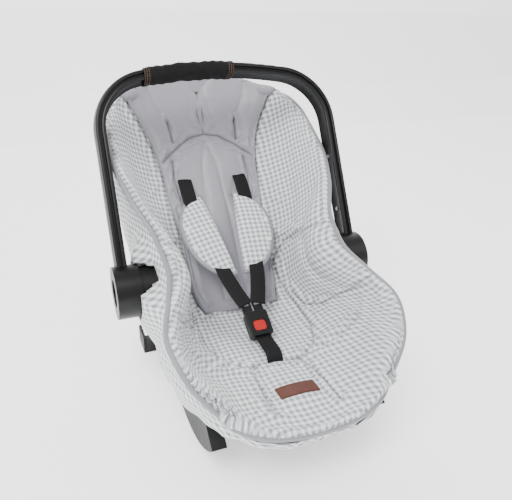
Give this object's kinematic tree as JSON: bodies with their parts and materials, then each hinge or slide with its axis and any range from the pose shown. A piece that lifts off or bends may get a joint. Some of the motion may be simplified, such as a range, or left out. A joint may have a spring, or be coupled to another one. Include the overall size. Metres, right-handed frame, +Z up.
{
  "type": "infant car seat",
  "caption": "Infant carrier car seat: moulded bucket on a rocker base, gingham padded cover, harness with buckle, and a turning carry handle.",
  "frame": {"origin": "on the floor, under the middle of the whole object", "axes": "+Z up, -Y towards the foot end, +X across the seat"},
  "size_m": [0.446, 0.6478, 0.5148],
  "materials": {
    "shell_plastic": "fine moulded texture",
    "handle_plastic": "satin moulded",
    "button_plastic": "satin moulded",
    "gear_nylon": "natural nylon",
    "zinc_steel": "zinc plated",
    "foam": "expanded foam beads",
    "gingham_cotton": "small grey and white check, plain weave",
    "grey_piping": "bias-cut satin",
    "satin_quilt": "soft satin, quilted",
    "black_canvas": "woven, stitched ends",
    "black_webbing": "polyester webbing",
    "buckle_plastic": "moulded",
    "red_plastic": "moulded",
    "brown_leather": "smooth",
    "snap_pearl": "pearl ring"
  },
  "bodies": {
    "seat": {"adjuster_strap": "black_webbing", "back_insert": "satin_quilt", "base_screws": "zinc_steel", "belt_guide_left": "shell_plastic", "belt_guide_right": "shell_plastic", "buckle_back": "buckle_plastic", "buckle_front": "buckle_plastic", "buckle_spring": "zinc_steel", "cover_piping": "grey_piping", "cover_skirt": "gingham_cotton", "crotch_anchor": "zinc_steel", "crotch_strap": "black_webbing", "foam_liner": "foam", "harness_yoke": "zinc_steel", "hub_boss_left": "shell_plastic", "hub_boss_right": "shell_plastic", "leather_label": "brown_leather", "pivot_screw_left": "zinc_steel", "pivot_screw_right": "zinc_steel", "pivot_washer_left": "zinc_steel", "pivot_washer_right": "zinc_steel", "rocker_base": "shell_plastic", "seat_cover": "gingham_cotton", "seat_shell": "shell_plastic", "shoulder_strap_left": "black_webbing", "shoulder_strap_right": "black_webbing", "strap_adjuster": "buckle_plastic"},
    "handle": {"handle_frame": "handle_plastic", "handle_inner_rail": "handle_plastic", "handle_screws": "zinc_steel", "grip_sleeve": "black_canvas"},
    "buckle_press": {"buckle_button": "red_plastic"},
    "release_left": {"release_button_left": "button_plastic", "lock_gear_left": "gear_nylon", "hub_spring_left": "zinc_steel"},
    "pad_left": {"shoulder_pad_left": "gingham_cotton", "pad_snaps_left": "snap_pearl"},
    "latch_left": {"tongue_left": "buckle_plastic"},
    "release_right": {"release_button_right": "button_plastic", "lock_gear_right": "gear_nylon", "hub_spring_right": "zinc_steel"},
    "pad_right": {"shoulder_pad_right": "gingham_cotton", "pad_snaps_right": "snap_pearl"},
    "latch_right": {"tongue_right": "buckle_plastic"}
  },
  "joints": [
    {"name": "handle_tilt", "type": "hinge", "parent": "seat", "child": "handle", "pos_m": [0, -0.0145, 0.187], "axis": [1, 0, 0], "range_deg": [-6, 140]},
    {"name": "buckle_press", "type": "slide", "parent": "seat", "child": "buckle_press", "axis": [0, 0.4955, -0.8686], "range_m": [0, 0.0035], "stiffness_N_per_m": 900, "springref_m": -0.002, "deforming": ["buckle_spring"]},
    {"name": "release_left", "type": "slide", "parent": "handle", "child": "release_left", "axis": [1, 0, 0], "range_m": [0, 0.005], "stiffness_N_per_m": 1200, "springref_m": -0.003, "deforming": ["hub_spring_left"]},
    {"name": "pad_slide_left", "type": "slide", "parent": "seat", "child": "pad_left", "axis": [0.1449, -0.8137, -0.5629], "range_m": [-0.01, 0.012]},
    {"name": "tongue_slide_left", "type": "slide", "parent": "seat", "child": "latch_left", "axis": [0, 0.8686, 0.4955], "range_m": [0, 0.025], "deforming": ["shoulder_strap_left"]},
    {"name": "release_right", "type": "slide", "parent": "handle", "child": "release_right", "axis": [-1, 0, 0], "range_m": [0, 0.005], "stiffness_N_per_m": 1200, "springref_m": -0.003, "deforming": ["hub_spring_right"]},
    {"name": "pad_slide_right", "type": "slide", "parent": "seat", "child": "pad_right", "axis": [-0.1449, -0.8137, -0.5629], "range_m": [-0.01, 0.012]},
    {"name": "tongue_slide_right", "type": "slide", "parent": "seat", "child": "latch_right", "axis": [0, 0.8686, 0.4955], "range_m": [0, 0.025], "deforming": ["shoulder_strap_right"]}
  ]
}
